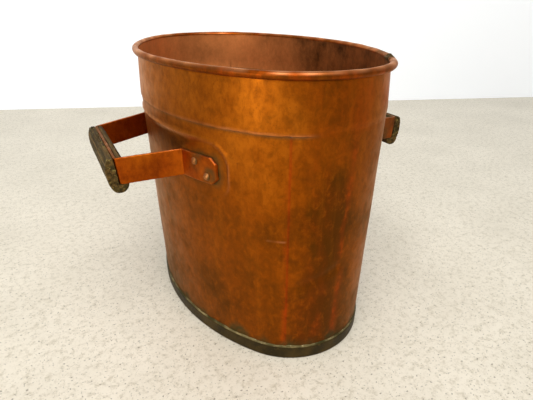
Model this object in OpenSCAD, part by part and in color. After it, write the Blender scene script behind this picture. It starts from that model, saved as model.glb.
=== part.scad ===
// Oval copper wash boiler, open at the top.
// Two half sheets form a tapered wall, a collar with a wired rim laps over them, a shallow pan
// closes the bottom, and two riveted strap handles carry slotted wooden grips.
// Z is up, Y runs along the oval, and the origin is the middle of the underside.

/* [Oval] */
// Length of the mouth along Y, outside the collar sheet
mouth_l = 494; // [412:1:593]
// Width of the mouth along X, outside the collar sheet
mouth_w = 322; // [269:1:386]

/* [Wall] */
// Overall height, from the floor to the top of the rim
vessel_h = 400; // [333:1:480]
// Thickness of the copper sheet
sheet_t = 1.5; // [1:0.1:2.5]
// How far the foot of the wall lies inside the mouth
foot_in = 10; // [0:0.5:20]
// How far the lower edge of the collar stands outside the mouth
belly_out = 3; // [1:0.5:8]
// Width of each brazed side seam
seam_w = 3; // [2:0.5:6]
// Where the side seams stand, in degrees round from the X axis
seam_angle = 75; // [60:1:89]
// How far a braze seam stands proud of the sheet
seam_proud = 0.4; // [0.2:0.1:1]

/* [Collar and rim] */
// Height of the collar below the rolled rim
collar_h = 60; // [40:1:90]
// How far the collar laps over the wall sheets
collar_lap = 18; // [10:1:30]
// Size of the solder fillet under the collar
collar_fillet = 1.4; // [0.8:0.1:3]
// Diameter of the iron wire inside the rolled rim
wire_d = 6; // [4:0.1:9]
// Width of the slit between the hem's cut edge and the sheet
hem_slit = 0.6; // [0.3:0.1:1.5]

/* [Bottom pan] */
// Thickness of the pan's sheet
pan_t = 2; // [1.5:0.1:3]
// Height of the pan's upturned flange
flange_h = 21; // [15:0.5:35]
// Height and width of the solder fillet on the flange's edge
pan_fillet = 2.6; // [1:0.1:5]

/* [Handles] */
// Width of the handle strap
strap_w = 36; // [30:0.5:44]
// Thickness of the handle strap
strap_t = 4; // [3:0.1:6]
// Distance from the rim's top down to the strap's upper edge
handle_drop = 108; // [100:1:150]
// Length of the handle over the outside of its two corners
handle_l = 164; // [137:1:197]
// Distance from the wall to the outside of the strap, at mid length
handle_out = 68; // [55:0.5:85]
// How far each arm spreads along Y on its way to the wall
arm_spread = 22; // [0:1:30]
// How far the handle droops towards its grip, in degrees
droop = 5.5; // [0:0.5:10]
// Length of each foot, measured along Y from the arm's outside
foot_l = 55; // [45:1:60]
// Size of the cut-off corners at the end of a foot
foot_chamfer = 8; // [3:0.5:12]
// Inside radius of the strap's two corners
bend_r = 1.5; // [1:0.5:4]

/* [Rivets and backing plates] */
// Shank diameter of a rivet
rivet_d = 6; // [4:0.1:8]
// Diameter of a rivet's domed outer head
rivet_head_d = 11; // [9:0.5:14]
// Height of a rivet's domed outer head
rivet_head_h = 3.6; // [2:0.1:5]
// Thickness of a rivet's flat inner head
rivet_foot_h = 1.8; // [1:0.1:3]
// Distance of the outer rivet from the end of the foot
rivet_end = 15; // [10:0.5:20]
// Distance along Y between the two rivets of a foot
rivet_step = 18; // [13:0.5:24]
// Height difference between the two rivets of a foot
rivet_rise = 16; // [0:0.5:18]
// How far a backing plate reaches past the end of a foot
plate_end = 12; // [8:1:20]
// How far a backing plate reaches above and below the strap
plate_edge = 18; // [8:1:24]
// Corner radius of a backing plate
plate_r = 26; // [10:1:30]

/* [Grips] */
// Width of the wooden grip
grip_w = 27; // [20:0.5:34]
// How far the grip hangs below the strap
grip_drop = 12; // [6:0.5:18]
// How far the grip's middle lies outside the strap's middle
grip_shift = 1.5; // [0:0.5:4]
// Height by which the planed top lies under the grip's full section
grip_planed = 3; // [1:0.5:6]
// Diameter of the nails through grip and strap
nail_d = 3; // [2:0.1:5]
// Distance between the two nails of a grip
nail_gap = 96; // [60:1:110]
// How deep the nails are set below the wood
nail_sunk = 0.8; // [0.3:0.1:2]

/* [Fits] */
// Gap filled by solder, where two sheets lie on each other
film = 0.1; // [0.05:0.05:0.3]
// Clearance all round the wire, the rivets and the nails
fit = 0.05; // [0.03:0.01:0.2]
// Clearance on each side of the strap in its slot in the grip
slot_fit = 0.2; // [0.1:0.05:0.5]

/* [Hidden] */
$fn = 180;

copper = "#9c4f22";
dark_copper = "#6e3a20";
iron = "#4a4640";
solder = "#a99a76";
oxide = "#3b3626";
old_wood = "#565445";

// The oval is the classic one drawn on 3-4-5 triangles: two large side arcs and two small
// end arcs, tangent where they meet. Its centres lie on the axes, 4 and 3 units out.
half_l = mouth_l / 2;
half_w = mouth_w / 2;
unit = (half_l - half_w) / 2;
side_x = 4 * unit;
end_y = 3 * unit;
end_r = half_w - unit;
side_r = end_r + 5 * unit;
side_a = atan2(3, 4);

// The rolled rim
bore_r = wire_d / 2 + 3 * fit;
roll_r = bore_r + sheet_t;
roll_lip = 0.2;
roll_x = roll_r - sheet_t - roll_lip;
roll_z = vessel_h - roll_r;
hem_slit_angle = -125;

// Heights and outward offsets of the sheets' outer faces, measured from the mouth's oval
collar_z = vessel_h - 2 * roll_r - collar_h;
collar_line = [[collar_z, belly_out], [roll_z, 0]];
wall_x = belly_out - sheet_t - film;
wall_line = [[0, -foot_in], [collar_z, wall_x]];
wall_tilt = atan2(wall_x + foot_in, collar_z);
lap_z = collar_z + collar_lap;

// The handles
strap_z1 = vessel_h - handle_drop;
strap_z0 = strap_z1 - strap_w;
strap_zm = (strap_z0 + strap_z1) / 2;
// Rounded to a hundredth, so that the bars and bends of the strap meet face to face
strap_x = round(100 * (half_w + wall_at(strap_zm) + handle_out)) / 100;
corner_y = handle_l / 2;
corner_r = bend_r + strap_t;
bend_y = corner_y + arm_spread;
foot_y = bend_y + foot_l;
bend_x = side_x_at(bend_y, wall_at(strap_zm) + film + strap_t / 2);
arm_tilt = atan2(arm_spread, strap_x - bend_x);
plate_y = foot_y + plate_end;
plate_z0 = strap_z0 - plate_edge;
plate_z1 = strap_z1 + plate_edge;
rivet_stack = 2 * sheet_t + strap_t + 2 * film;
reach = mouth_l;

function wall_at(z) = lookup(z, wall_line);
function collar_at(z) = lookup(z, collar_line);

// Where a face with this offset crosses the given y on the +X side: its angle and its x
function side_angle(y, off) = asin(y / (side_r + off));
function side_x_at(y, off) = (side_r + off) * cos(side_angle(y, off)) - side_x;

// Points of the oval, moved outward by off
function oval_points(off, steps = 48) = [
    for (half = [0, 180]) each concat(
        [for (i = [0:steps - 1]) let (a = -side_a + 2 * side_a * i / steps)
            turned([(side_r + off) * cos(a) - side_x, (side_r + off) * sin(a)], half)],
        [for (i = [0:steps - 1]) let (a = side_a + (180 - 2 * side_a) * i / steps)
            turned([(end_r + off) * cos(a), (end_r + off) * sin(a) + end_y], half)])];
function turned(p, a) = [p[0] * cos(a) - p[1] * sin(a), p[0] * sin(a) + p[1] * cos(a)];

// Sweeps a section along the +X side arc: its x is the outward offset, its y the height
module side_arc() {
    translate([-side_x, 0]) intersection() {
        rotate_extrude() translate([side_r, 0]) children();
        translate([0, 0, -1]) linear_extrude(vessel_h + 2)
            polygon([[0, 0], [4 * reach, -3 * reach], [4 * reach, 3 * reach]]);
    }
}

// The same along the +Y end arc
module end_arc() {
    translate([0, end_y]) intersection() {
        rotate_extrude() translate([end_r, 0]) children();
        translate([0, 0, -1]) linear_extrude(vessel_h + 2)
            polygon([[0, 0], [4 * reach, 3 * reach], [-4 * reach, 3 * reach]]);
    }
}

// Sweeps a section once round the whole oval
module around_oval() {
    side_arc() children();
    end_arc() children();
    rotate(180) side_arc() children();
    rotate(180) end_arc() children();
}

// A strip of sheet that follows the wall between two heights, from inner to outer offset
module wall_strip(z0, z1, inner, outer) {
    polygon([[wall_at(z0) + inner, z0], [wall_at(z1) + inner, z1],
             [wall_at(z1) + outer, z1], [wall_at(z0) + outer, z0]]);
}

// Puts a +X side piece on the left side as well: the left one is turned half round
module on_side(left) {
    rotate(left ? 180 : 0) children();
}

// --- collar, wire and solder ---

module collar_section() {
    difference() {
        union() {
            polygon([[belly_out - sheet_t, collar_z], [belly_out, collar_z],
                     [0, roll_z], [-sheet_t, roll_z]]);
            translate([roll_x, roll_z]) circle(r = roll_r);
        }
        translate([roll_x, roll_z]) circle(r = bore_r);
        translate([roll_x, roll_z]) rotate(hem_slit_angle)
            translate([0, -hem_slit / 2]) square([roll_r + roll_lip, hem_slit]);
    }
}

module collar() {
    color(copper) around_oval() collar_section();
}

module rim_wire() {
    color(iron) around_oval() translate([roll_x, roll_z]) circle(d = wire_d);
}

module collar_solder() {
    color(solder) around_oval()
        polygon([[wall_x + film, collar_z - film], [wall_x + film + collar_fillet, collar_z - film],
                 [wall_at(collar_z - collar_fillet) + film, collar_z - film - collar_fillet]]);
}

// --- wall sheets and their seams ---

module wall_section(proud) {
    lap_out = collar_at(lap_z) - sheet_t - film;
    z0 = pan_t + film;
    polygon([[wall_at(z0) - sheet_t - proud, z0], [wall_at(z0) + proud, z0],
             [wall_x + proud, collar_z - film], [wall_x, collar_z - film], [lap_out, lap_z],
             [lap_out - sheet_t - proud, lap_z], [wall_x - sheet_t - proud, collar_z - film]]);
}

module wall_sheet(left) {
    color(copper) difference() {
        around_oval() wall_section(0);
        rotate(seam_angle + (left ? 0 : 180)) translate([-reach, -reach, -1])
            cube([2 * reach, reach + seam_w / 2, vessel_h]);
        for (back = [-1, 1]) on_side(left) rivet_pair(back) rivet_hole();
    }
}

module side_seam(front) {
    z0 = flange_h + pan_fillet + film;
    z1 = collar_z - collar_fillet - 2 * film;
    color(dark_copper) intersection() {
        around_oval() union() {
            wall_strip(pan_t + film, collar_z - film, -sheet_t, 0);
            wall_strip(z0, z1, -sheet_t - seam_proud, seam_proud);
        }
        rotate(seam_angle + (front ? 180 : 0))
            translate([0, fit - seam_w / 2, 0]) cube([reach, seam_w - 2 * fit, vessel_h]);
    }
}

// --- bottom pan ---

module bottom_pan() {
    color(oxide) union() {
        linear_extrude(pan_t) polygon(oval_points(wall_at(0)));
        around_oval() polygon([[wall_at(0) - sheet_t, 0], [wall_at(0) + film + pan_t, 0],
                               [wall_at(flange_h) + film + pan_t, flange_h],
                               [wall_at(flange_h) + film, flange_h],
                               [wall_at(pan_t) + film, pan_t], [wall_at(0) - sheet_t, pan_t]]);
    }
}

module pan_solder() {
    z0 = flange_h + film;
    z1 = z0 + pan_fillet;
    color(solder) around_oval()
        polygon([[wall_at(z0) + film, z0], [wall_at(z0) + min(pan_t, pan_fillet), z0],
                 [wall_at(z1) + film, z1]]);
}

// --- rivets and backing plates ---

// Places a child at each rivet of one foot, with z along the wall's outward normal
module rivet_pair(back) {
    for (i = [0, 1]) {
        y = foot_y - rivet_end - i * rivet_step;
        z = strap_zm + (i == 0 ? -1 : 1) * rivet_rise / 2;
        off = wall_at(z);
        translate([-side_x, 0, z]) rotate(back * side_angle(y, off))
            translate([side_r + off, 0, 0]) rotate([0, 90 + wall_tilt, 0]) children();
    }
}

module rivet_hole() {
    translate([0, 0, -rivet_stack]) cylinder(d = rivet_d + 2 * fit, h = 2 * rivet_stack);
}

// z = 0 lies on the wall's outer face
module rivet() {
    dome_r = (rivet_head_d * rivet_head_d / 4 + rivet_head_h * rivet_head_h) / (2 * rivet_head_h);
    head_z = strap_t + 2 * film;
    inner_z = -2 * sheet_t - 2 * film;
    translate([0, 0, inner_z]) cylinder(d = rivet_d, h = head_z - inner_z);
    translate([0, 0, inner_z - rivet_foot_h]) cylinder(d = rivet_head_d, h = rivet_foot_h);
    intersection() {
        translate([0, 0, head_z + rivet_head_h - dome_r]) sphere(r = dome_r);
        translate([0, 0, head_z]) cylinder(d = 2 * rivet_head_d, h = 2 * rivet_head_h);
    }
}

module rivets(left, back) {
    color(dark_copper) on_side(left) rivet_pair(back) rivet();
}

function rounded_corner(cy, cz, a0) = [
    for (i = [0:8]) let (a = a0 + 90 * i / 8) [cy + plate_r * cos(a), cz + plate_r * sin(a)]];

module plate_outline() {
    y = plate_y - plate_r;
    z0 = plate_z0 + plate_r;
    z1 = plate_z1 - plate_r;
    polygon(concat(rounded_corner(y, z1, 0), rounded_corner(-y, z1, 90),
                   rounded_corner(-y, z0, 180), rounded_corner(y, z0, 270)));
}

module backing_plate(left) {
    color(dark_copper) on_side(left) difference() {
        intersection() {
            side_arc() wall_strip(plate_z0 - 1, plate_z1 + 1, -2 * sheet_t - film, -sheet_t - film);
            rotate([90, 0, 90]) linear_extrude(half_w) plate_outline();
        }
        for (back = [-1, 1]) rivet_pair(back) rivet_hole();
    }
}

// --- handles ---

// The handle droops about the level line through its bends at the wall
module drooped() {
    translate([bend_x, 0, strap_zm]) rotate([0, droop, 0])
        translate([-bend_x, 0, -strap_zm]) children();
}

// Plan of half the bow, towards +Y, between two radii of its corner bend
function bow_corner(r) = let (c = cos(arm_tilt), s = sin(arm_tilt),
        y0 = corner_y - corner_r * (1 - s) / c)
    [for (i = [0:8]) let (a = (90 - arm_tilt) * i / 8)
        [strap_x - corner_r + r * cos(a), y0 + r * sin(a)]];
function bow_end(depth) = [bend_x - depth * sin(arm_tilt), bend_y - depth * cos(arm_tilt)];
function bow_half() = concat(bow_corner(corner_r), [bow_end(0), bow_end(strap_t)],
    [for (i = [8:-1:0]) bow_corner(bend_r)[i]]);
function flipped(points) = [for (i = [len(points) - 1:-1:0]) [points[i][0], -points[i][1]]];

// Crossbar, corners and arms, bent from one bar; the arms run into the feet's thickness
module bow() {
    half = bow_half();
    outer = [for (i = [0:9]) half[i]];
    inner = [for (i = [10:19]) half[i]];
    difference() {
        drooped() translate([0, 0, strap_z0]) linear_extrude(strap_w)
            polygon(concat(outer, inner, flipped(inner), flipped(outer)));
        side_arc() wall_strip(strap_z0 - strap_w, strap_z1 + strap_w, -strap_w, film + strap_t / 4);
    }
}

module foot() {
    intersection() {
        side_arc() wall_strip(strap_z0, strap_z1, film, film + strap_t);
        rotate([90, 0, 90]) linear_extrude(2 * half_w)
            polygon([[bend_y - strap_t, strap_z0], [foot_y - foot_chamfer, strap_z0],
                     [foot_y, strap_z0 + foot_chamfer], [foot_y, strap_z1 - foot_chamfer],
                     [foot_y - foot_chamfer, strap_z1], [bend_y - strap_t, strap_z1]]);
    }
}

module handle_strap(left) {
    color(copper) on_side(left) difference() {
        union() {
            bow();
            foot();
            mirror([0, 1, 0]) foot();
        }
        for (back = [-1, 1]) rivet_pair(back) rivet_hole();
        nail_places() cylinder(d = nail_d + 2 * fit, h = 4 * strap_t, center = true);
    }
}

// --- grips ---

grip_z1 = strap_z1 + grip_planed;
grip_z0 = strap_z0 - grip_drop;
grip_zm = (grip_z0 + grip_z1) / 2;
grip_x = strap_x - strap_t / 2 + grip_shift;
grip_power = 2.4;

// Half width of the grip's section at height z
function grip_half(z) =
    grip_w / 2 * pow(1 - pow(abs(z - grip_zm) / ((grip_z1 - grip_z0) / 2), grip_power), 1 / grip_power);

module nail_places() {
    drooped() for (end = [-1, 1])
        translate([strap_x - strap_t / 2, end * nail_gap / 2, strap_zm]) rotate([0, 90, 0]) children();
}

// Top, bottom and sides follow one oval formula; the top is planed level with the strap
module grip_section() {
    steps = 20;
    ring = [for (i = [0:4 * steps - 1]) let (a = 90 * i / steps, c = cos(a), s = sin(a))
        [grip_x + sign(c) * grip_w / 2 * pow(abs(c), 2 / grip_power),
         grip_zm + sign(s) * (grip_z1 - grip_z0) / 2 * pow(abs(s), 2 / grip_power)]];
    intersection() {
        polygon(ring);
        translate([grip_x - grip_w, grip_z0]) square([2 * grip_w, strap_z1 - grip_z0]);
    }
}

// What the strap needs inside the grip, in plan: a slot for the crossbar, and beyond its ends
// everything outward of the arms' inner faces
module slot_plan() {
    x0 = strap_x - strap_t - slot_fit;
    x1 = strap_x + slot_fit;
    y0 = corner_y - (strap_t + slot_fit) / cos(arm_tilt) - bend_r;
    inward = 2 * grip_w;
    translate([x0, -handle_l]) square([x1 - x0, 2 * handle_l]);
    for (end = [0, 1]) mirror([0, end])
        polygon([[x1, y0], [x1, handle_l], [x1 - inward, handle_l],
                 [x1 - inward, y0 + inward * tan(arm_tilt)]]);
}

module grip(left) {
    color(old_wood) on_side(left) difference() {
        drooped() difference() {
            rotate([90, 0, 0]) linear_extrude(handle_l, center = true) grip_section();
            translate([0, 0, strap_z0 - slot_fit]) linear_extrude(2 * strap_w) slot_plan();
        }
        nail_places() cylinder(d = nail_d + 2 * fit, h = 2 * grip_w, center = true);
    }
}

module grip_nails(left) {
    outer = grip_x + grip_half(strap_zm) - nail_sunk;
    inner = grip_x - grip_half(strap_zm) + nail_sunk;
    color(iron) on_side(left) nail_places()
        translate([0, 0, inner - strap_x + strap_t / 2]) cylinder(d = nail_d, h = outer - inner);
}

collar();
rim_wire();
collar_solder();
wall_sheet(true);  // wall_sheet_left
wall_sheet(false);  // wall_sheet_right
side_seam(true);  // seam_front
side_seam(false);  // seam_back
bottom_pan();
pan_solder();
backing_plate(true);  // backing_plate_left
backing_plate(false);  // backing_plate_right
handle_strap(true);  // handle_strap_left
handle_strap(false);  // handle_strap_right
rivets(true, 1);  // rivets_left_front
rivets(true, -1);  // rivets_left_back
rivets(false, -1);  // rivets_right_front
rivets(false, 1);  // rivets_right_back
grip(true);  // grip_left
grip(false);  // grip_right
grip_nails(true);  // grip_nails_left
grip_nails(false);  // grip_nails_right
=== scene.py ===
# %% [markdown]
# # An oval copper boiler
# The object is a tall oval vessel of sheet copper: a collar with a wired rim, two wall sheets,
# a dark bottom pan, and two strap handles with wooden grips. The engineering model gives every
# piece its size and place. This lesson dresses it, as years of use did: it goes over each
# sheet with a hammer, softens each edge, and gives each surface its tarnish and dirt.
# Nothing moves, so every piece rides on the one body, root.

# %% Load the fixed frame
import math

import bmesh
import bpy
from mathutils import Matrix, Vector, noise


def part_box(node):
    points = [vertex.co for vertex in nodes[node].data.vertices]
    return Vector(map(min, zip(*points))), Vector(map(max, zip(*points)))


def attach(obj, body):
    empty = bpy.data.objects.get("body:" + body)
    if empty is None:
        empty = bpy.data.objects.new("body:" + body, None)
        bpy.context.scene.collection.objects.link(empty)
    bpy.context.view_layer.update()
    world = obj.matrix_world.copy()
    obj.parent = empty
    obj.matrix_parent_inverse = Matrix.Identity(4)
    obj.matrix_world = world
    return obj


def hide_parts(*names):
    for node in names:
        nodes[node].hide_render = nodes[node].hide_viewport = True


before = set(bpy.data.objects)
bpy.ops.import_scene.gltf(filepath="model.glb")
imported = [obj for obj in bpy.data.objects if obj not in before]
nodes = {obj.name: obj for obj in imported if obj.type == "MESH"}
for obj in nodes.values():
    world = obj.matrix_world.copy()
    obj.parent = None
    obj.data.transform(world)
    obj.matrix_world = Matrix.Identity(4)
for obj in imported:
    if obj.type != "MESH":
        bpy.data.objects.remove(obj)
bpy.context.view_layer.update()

# %% [markdown]
# ## The camera
# A product view of a vessel like this is taken standing in front of it and a little to the
# left, looking down, so that the mouth shows its inside. The camera stands close, which makes
# the vessel taper towards the floor more than it really does. Yaw, pitch and roll are turned
# into three axes by hand, because that keeps each angle a number with a plain meaning.

# %% Set the camera
MM = 0.001
CAMERA_PLACE = Vector((-292, -618, 472)) * MM
CAMERA_YAW = -0.477
CAMERA_PITCH = 0.449
CAMERA_ROLL = 0.006
CAMERA_LENS = 29.2

ahead = Vector((-math.sin(CAMERA_YAW) * math.cos(CAMERA_PITCH),
                math.cos(CAMERA_YAW) * math.cos(CAMERA_PITCH), -math.sin(CAMERA_PITCH)))
level = Vector((math.cos(CAMERA_YAW), math.sin(CAMERA_YAW), 0))
upward = level.cross(ahead)
camera_right = level * math.cos(CAMERA_ROLL) + upward * math.sin(CAMERA_ROLL)
camera_up = upward * math.cos(CAMERA_ROLL) - level * math.sin(CAMERA_ROLL)

camera = bpy.data.objects.new("camera", bpy.data.cameras.new("camera"))
bpy.context.scene.collection.objects.link(camera)
camera.data.lens = CAMERA_LENS
camera.data.sensor_width = 36
axes = Matrix((camera_right, camera_up, -ahead)).transposed()
camera.matrix_world = Matrix.Translation(CAMERA_PLACE) @ axes.to_4x4()
bpy.context.scene.camera = camera
print("camera", [round(v, 3) for v in camera.location])

# %% [markdown]
# ## The oval
# A coppersmith draws an oval with compasses: two wide arcs for the sides and two tight arcs
# for the ends, which meet without a corner. All the sheets follow that one oval, some further
# out and some further in. Here it is rebuilt from the frame's own measurements. An offset is
# easy on arcs, because only the radius changes, which is why no curve object is used.

# %% Measure the oval
SHEET = 1.5 * MM
LIP = 0.2 * MM

wire_low, wire_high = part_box("rim_wire")
collar_low, collar_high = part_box("collar")
wire_radius = (wire_high.z - wire_low.z) / 2
roll_radius = wire_radius + collar_high.x - wire_high.x
roll_out = roll_radius - SHEET - LIP
roll_z = collar_high.z - roll_radius
mouth_half_width = collar_high.x - roll_radius - roll_out
unit = (collar_high.y - collar_high.x) / 2
side_x = 4 * unit
end_y = 3 * unit
end_radius = mouth_half_width - unit
side_radius = end_radius + 5 * unit
side_turn = math.atan2(3, 4)
side_length = side_radius * side_turn
quarter_length = side_length + end_radius * (math.pi / 2 - side_turn)
perimeter = 4 * quarter_length
print("mouth half width", round(mouth_half_width, 4), "perimeter", round(perimeter, 3))

# %% Walk round the oval
def heading_at(turn):
    """Outward direction, in radians from +X, after this part of the way round."""
    quarter, part = divmod(turn * 4, 1)
    quarter = int(quarter) % 4
    along = (part if quarter % 2 == 0 else 1 - part) * quarter_length
    if along < side_length:
        angle = along / side_radius
    else:
        angle = side_turn + (along - side_length) / end_radius
    return (angle, math.pi - angle, math.pi + angle, 2 * math.pi - angle)[quarter]


def on_oval(heading, out):
    """The point with this outward direction, moved out from the mouth's line."""
    c, s = math.cos(heading), math.sin(heading)
    if abs(c) >= 0.8:
        return (side_radius + out) * c - math.copysign(side_x, c), (side_radius + out) * s
    return (end_radius + out) * c, (end_radius + out) * s + math.copysign(end_y, s)


def turn_towards(degrees):
    """The part of the way round at which the oval is seen in this direction from its middle."""
    def miss(turn):
        x, y = on_oval(heading_at(turn), 0)
        return abs((math.degrees(math.atan2(y, x)) - degrees + 180) % 360 - 180)
    return min((step / 7200 for step in range(7200)), key=miss)


print("a quarter of the way round points", round(math.degrees(heading_at(0.25)), 1))

# %% Say where a point is
def round_degrees(p):
    """The direction of a point seen from the middle: 0 is +X, and the near end is at 270."""
    return math.degrees(math.atan2(p.y, p.x)) % 360


def hump(value, middle, wide):
    """1 at the middle, falling softly to 0 on both sides."""
    return math.exp(-((value - middle) / wide) ** 2)


def outward(heading):
    return Vector((math.cos(heading), math.sin(heading), 0))


def flat_place(heading):
    """The place on the mouth's line with this outward direction, at height 0."""
    return Vector((*on_oval(heading, 0), 0))


def placed(heading, section, lift_at):
    """A section of offsets and heights, put on the oval and moved out by a function."""
    flat, away = flat_place(heading), outward(heading)
    ring = []
    for out, z in section:
        lift = lift_at(Vector((flat.x, flat.y, z)))
        ring.append(Vector((*on_oval(heading, out), z)) + away * lift)
    return ring


print("front corner is at", round(round_degrees(Vector((side_x, -end_y)))), "degrees")

# %% Measure the wall's slope
def widest(node, low, high):
    """Half the width of a node between two heights."""
    return max(abs(v.co.x) for v in nodes[node].data.vertices if low <= v.co.z <= high)


collar_z = collar_low.z
wall_low, wall_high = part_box("wall_sheet_right")
wall_foot_out = widest("wall_sheet_right", 0, wall_low.z + MM) - mouth_half_width
wall_top_out = widest("wall_sheet_right", collar_z - MM, collar_z) - mouth_half_width
collar_edge_out = widest("collar", collar_z - MM, collar_z + MM / 10) - mouth_half_width
wall_slope = (wall_top_out - wall_foot_out) / (collar_z - wall_low.z)


def wall_out(z):
    """The wall's outer face, as an offset from the mouth's line."""
    return wall_foot_out + wall_slope * (z - wall_low.z)


def collar_out(z):
    """The collar's outer face, which leans out towards its lower edge."""
    part = (z - collar_z) / (roll_z - collar_z)
    return collar_edge_out * (1 - part)


print("wall", round(wall_foot_out, 4), round(wall_top_out, 4), "collar edge", round(collar_edge_out, 4))

# %% [markdown]
# ## Building meshes
# Sheet metal is a section that runs along a path, so one small helper is enough: it joins
# rings of points into a skin. The rings come from functions that say where the metal is.
# Each piece gets its name and the frame's node that it stands for as soon as it is made, so
# nothing can be forgotten later.

# %% Make a skin from rings
def smoothstep(low, high, value):
    t = min(1.0, max(0.0, (value - low) / (high - low)))
    return t * t * (3 - 2 * t)


def loft(rings, closed_path=False):
    """Vertices and faces of a skin over rings of equally many points, capped if it has ends."""
    count, size = len(rings), len(rings[0])
    verts = [p for ring in rings for p in ring]
    faces = []
    for i in range(count if closed_path else count - 1):
        a, b = i * size, ((i + 1) % count) * size
        for j in range(size):
            k = (j + 1) % size
            faces.append((a + j, a + k, b + k, b + j))
    if not closed_path:
        faces.append(tuple(range(size)))
        faces.append(tuple(range((count - 1) * size, count * size)))
    return verts, faces


SHARP_DEGREES = 38


def add_piece(name, mesh, node):
    """Shows a mesh as a piece that stands for a node of the frame."""
    piece = bpy.data.objects.new(name, mesh)
    bpy.context.scene.collection.objects.link(piece)
    mesh.shade_smooth()
    mesh.set_sharp_from_angle(angle=math.radians(SHARP_DEGREES))
    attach(piece, "root")
    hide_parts(node)
    print(name, len(mesh.polygons), "faces")
    return piece


def skin_mesh(name, verts, faces):
    mesh = bpy.data.meshes.new(name)
    mesh.from_pydata([tuple(v) for v in verts], [], faces)
    shaped = bmesh.new()
    shaped.from_mesh(mesh)
    bmesh.ops.recalc_face_normals(shaped, faces=shaped.faces)
    shaped.to_mesh(mesh)
    shaped.free()
    return mesh


def paint(mesh, name, value_at):
    """Stores a number from 0 to 1 for each point, which a material can read by name."""
    layer = mesh.attributes.new(name, "FLOAT", "POINT")
    values = [value_at(v.co, v.normal) for v in mesh.vertices]
    layer.data.foreach_set("value", [min(1.0, max(0.0, value)) for value in values])


print("smoothstep halfway", smoothstep(0, 1, 0.5))

# %% [markdown]
# ## The hammered surface
# Sheet copper is raised and trued with a hammer, so it is never quite flat: long slow waves,
# and on them the soft marks of single blows. Where each handle is riveted on, a plate lies
# behind the sheet, and the sheet was hammered down over the plate's edge, which left a soft
# ridge with a round corner. One function gives the height of all that above the true surface.
# The wall, the collar and the pan all use it, so they stay as close together as they are.

# %% Find the backing plate's edge
plate_low, plate_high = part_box("backing_plate_right")
plate_half_y = plate_high.y
plate_half_z = (plate_high.z - plate_low.z) / 2
plate_mid_z = (plate_high.z + plate_low.z) / 2
PLATE_CORNER = 26 * MM
PLATE_LEAST_X = 20 * MM
FAR = 1.0


def beyond_plate(p):
    """Distance from the plate's outline along the wall: above 0 outside it, below 0 inside."""
    if abs(p.x) < PLATE_LEAST_X:
        return FAR
    dy = abs(p.y) - plate_half_y + PLATE_CORNER
    dz = abs(p.z - plate_mid_z) - plate_half_z + PLATE_CORNER
    outside = math.hypot(max(dy, 0), max(dz, 0))
    return outside + min(max(dy, dz), 0) - PLATE_CORNER


print("plate", round(plate_half_y, 4), "by", round(plate_half_z, 4))

# %% Hammer the sheet
SLOW_WAVE = 0.7 * MM
SLOW_SCALE = 11
BLOW_DEPTH = 0.13 * MM
BLOW_SCALE = 45
CALM_BEYOND = 25 * MM
CALM_LEAST = 0.12
RIDGE_HEIGHT = 1.9 * MM
RIDGE_WIDTH = 2.2 * MM
RIDGE_OUT = 1.5 * MM
RIDGE_WANDER = 1.1 * MM
DENT_FROM = Vector((-45, -236, 127)) * MM
DENT_TO = Vector((4, -246, 147)) * MM
DENT_DEPTH = 1.5 * MM
DENT_WIDTH = 7 * MM


def dent(p):
    """A shallow crease near the front, where something knocked against the wall."""
    line = DENT_TO - DENT_FROM
    t = min(1.0, max(0.0, (p - DENT_FROM).dot(line) / line.length_squared))
    away = (p - DENT_FROM - line * t).length
    return -DENT_DEPTH * hump(away, 0, DENT_WIDTH)


def ridge_wander(p):
    """How far the ridge strays from the plate's true outline."""
    return RIDGE_WANDER * noise.noise(p * 24)


def hammered(p):
    """How far the sheet stands out from its true surface at a point, in metres."""
    away = beyond_plate(p)
    calm = CALM_LEAST + (1 - CALM_LEAST) * smoothstep(0, CALM_BEYOND, away)
    slow = noise.noise(p * SLOW_SCALE) * SLOW_WAVE
    blows = noise.noise(p * BLOW_SCALE + Vector((3, 1, 7))) * BLOW_DEPTH
    clear = 0.12 + 0.88 * smoothstep(plate_low.z, plate_mid_z, p.z)
    clear *= 0.95 + 0.3 * noise.noise(p * 38)
    ridge = RIDGE_HEIGHT * clear * hump(away, RIDGE_OUT + ridge_wander(p), RIDGE_WIDTH)
    return (slow + blows) * calm + ridge + dent(p)


print("hammering at the front", round(hammered(Vector((0, -0.24, 0.2))) / MM, 3), "mm")

# %% [markdown]
# ## The two wall sheets
# Each sheet goes half way round and is brazed to its neighbour at the seams. Its top tongue
# slips up inside the collar, and is filed thin towards its edge so that no step shows inside.
# Solid sheet is drawn here, with an outer and an inner face, because the mouth is open.

# %% Build the wall sheets
SEAM_WIDTH = 3 * MM
SEAM_DEGREES = 75
FILM = 0.1 * MM
GRID = 2.3 * MM
INNER_GRID = 3 * MM
seam_back_turn = turn_towards(SEAM_DEGREES)
seam_front_turn = turn_towards(SEAM_DEGREES + 180)


def evenly(first, last, count):
    """Numbers from first to last, in this many equal steps."""
    return [first + (last - first) * i / count for i in range(count + 1)]


def spread(first, last, step):
    """Evenly spaced numbers from first to last, about a step apart."""
    return evenly(first, last, max(1, round((last - first) / step)))


def wall_profile():
    """The sheet's section: up the outer face, over the tongue and down the inner face."""
    lap_z = wall_high.z
    outer = [(wall_out(z), z) for z in spread(wall_low.z, collar_z - FILM, GRID)]
    lap = [(collar_out(lap_z) - SHEET - FILM, lap_z)]
    for z in evenly(lap_z, collar_z, 7):
        thin = (z - collar_z) / (lap_z - collar_z)
        behind = collar_out(z) - SHEET - FILM
        lap.append((behind + (wall_out(z) - SHEET - behind) * (1 - thin) - FILM, z))
    inner_heights = reversed(spread(wall_low.z, collar_z - 2 * MM, INNER_GRID))
    return outer + lap + [(wall_out(z) - SHEET, z) for z in inner_heights]


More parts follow.
